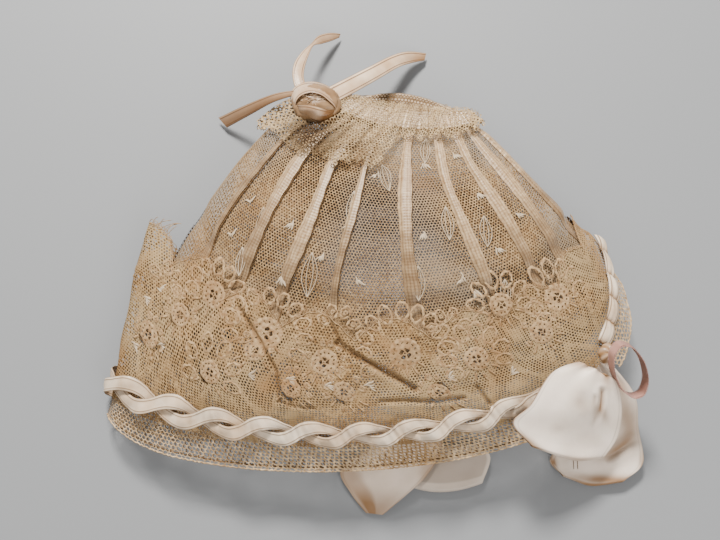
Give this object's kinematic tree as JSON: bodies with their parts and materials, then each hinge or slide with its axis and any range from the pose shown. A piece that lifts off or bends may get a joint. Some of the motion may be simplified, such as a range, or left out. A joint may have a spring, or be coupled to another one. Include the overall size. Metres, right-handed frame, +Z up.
{
  "type": "christening bonnet",
  "caption": "Baby's christening bonnet of pleated net and lace, lying on its side, with satin ribbons, bows and a rosette.",
  "frame": {"origin": "on the flat underside of the crown net, where the bonnet lies on a surface", "axes": "+Z up from the surface, -Y towards the long face edge, +Y towards the gathered crown, -X towards the forehead fold"},
  "size_m": [0.1939, 0.1834, 0.0385],
  "materials": {
    "ecru_net": "fine hexagonal cotton net, matt, aged ecru",
    "ecru_lace": "machine lace, matt, aged ecru to tan",
    "coarse_net": "coarse hexagonal net, matt",
    "cream_satin": "narrow satin ribbon, soft sheen, corded edges",
    "tan_satin": "narrow satin ribbon, darker with age, soft sheen",
    "ivory_satin": "wide satin ribbon, soft sheen",
    "pink_ribbon": "narrow picot ribbon, dusty pink"
  },
  "bodies": {
    "root": {"crown_net": "ecru_net", "lace_band": "ecru_lace", "face_frill": "coarse_net", "neck_frill": "coarse_net", "face_ribbon_a": "cream_satin", "face_ribbon_b": "cream_satin", "neck_ribbon": "cream_satin", "crown_ring": "cream_satin", "crown_frill": "coarse_net", "rosette": "tan_satin", "tail_left": "tan_satin", "tail_top": "tan_satin", "tail_right": "tan_satin", "side_bow_front": "ivory_satin", "side_bow_back": "ivory_satin", "side_bow_knot": "ivory_satin", "pink_loop": "pink_ribbon", "far_bow_leaf": "ivory_satin", "far_bow_loop": "ivory_satin"}
  },
  "joints": []
}
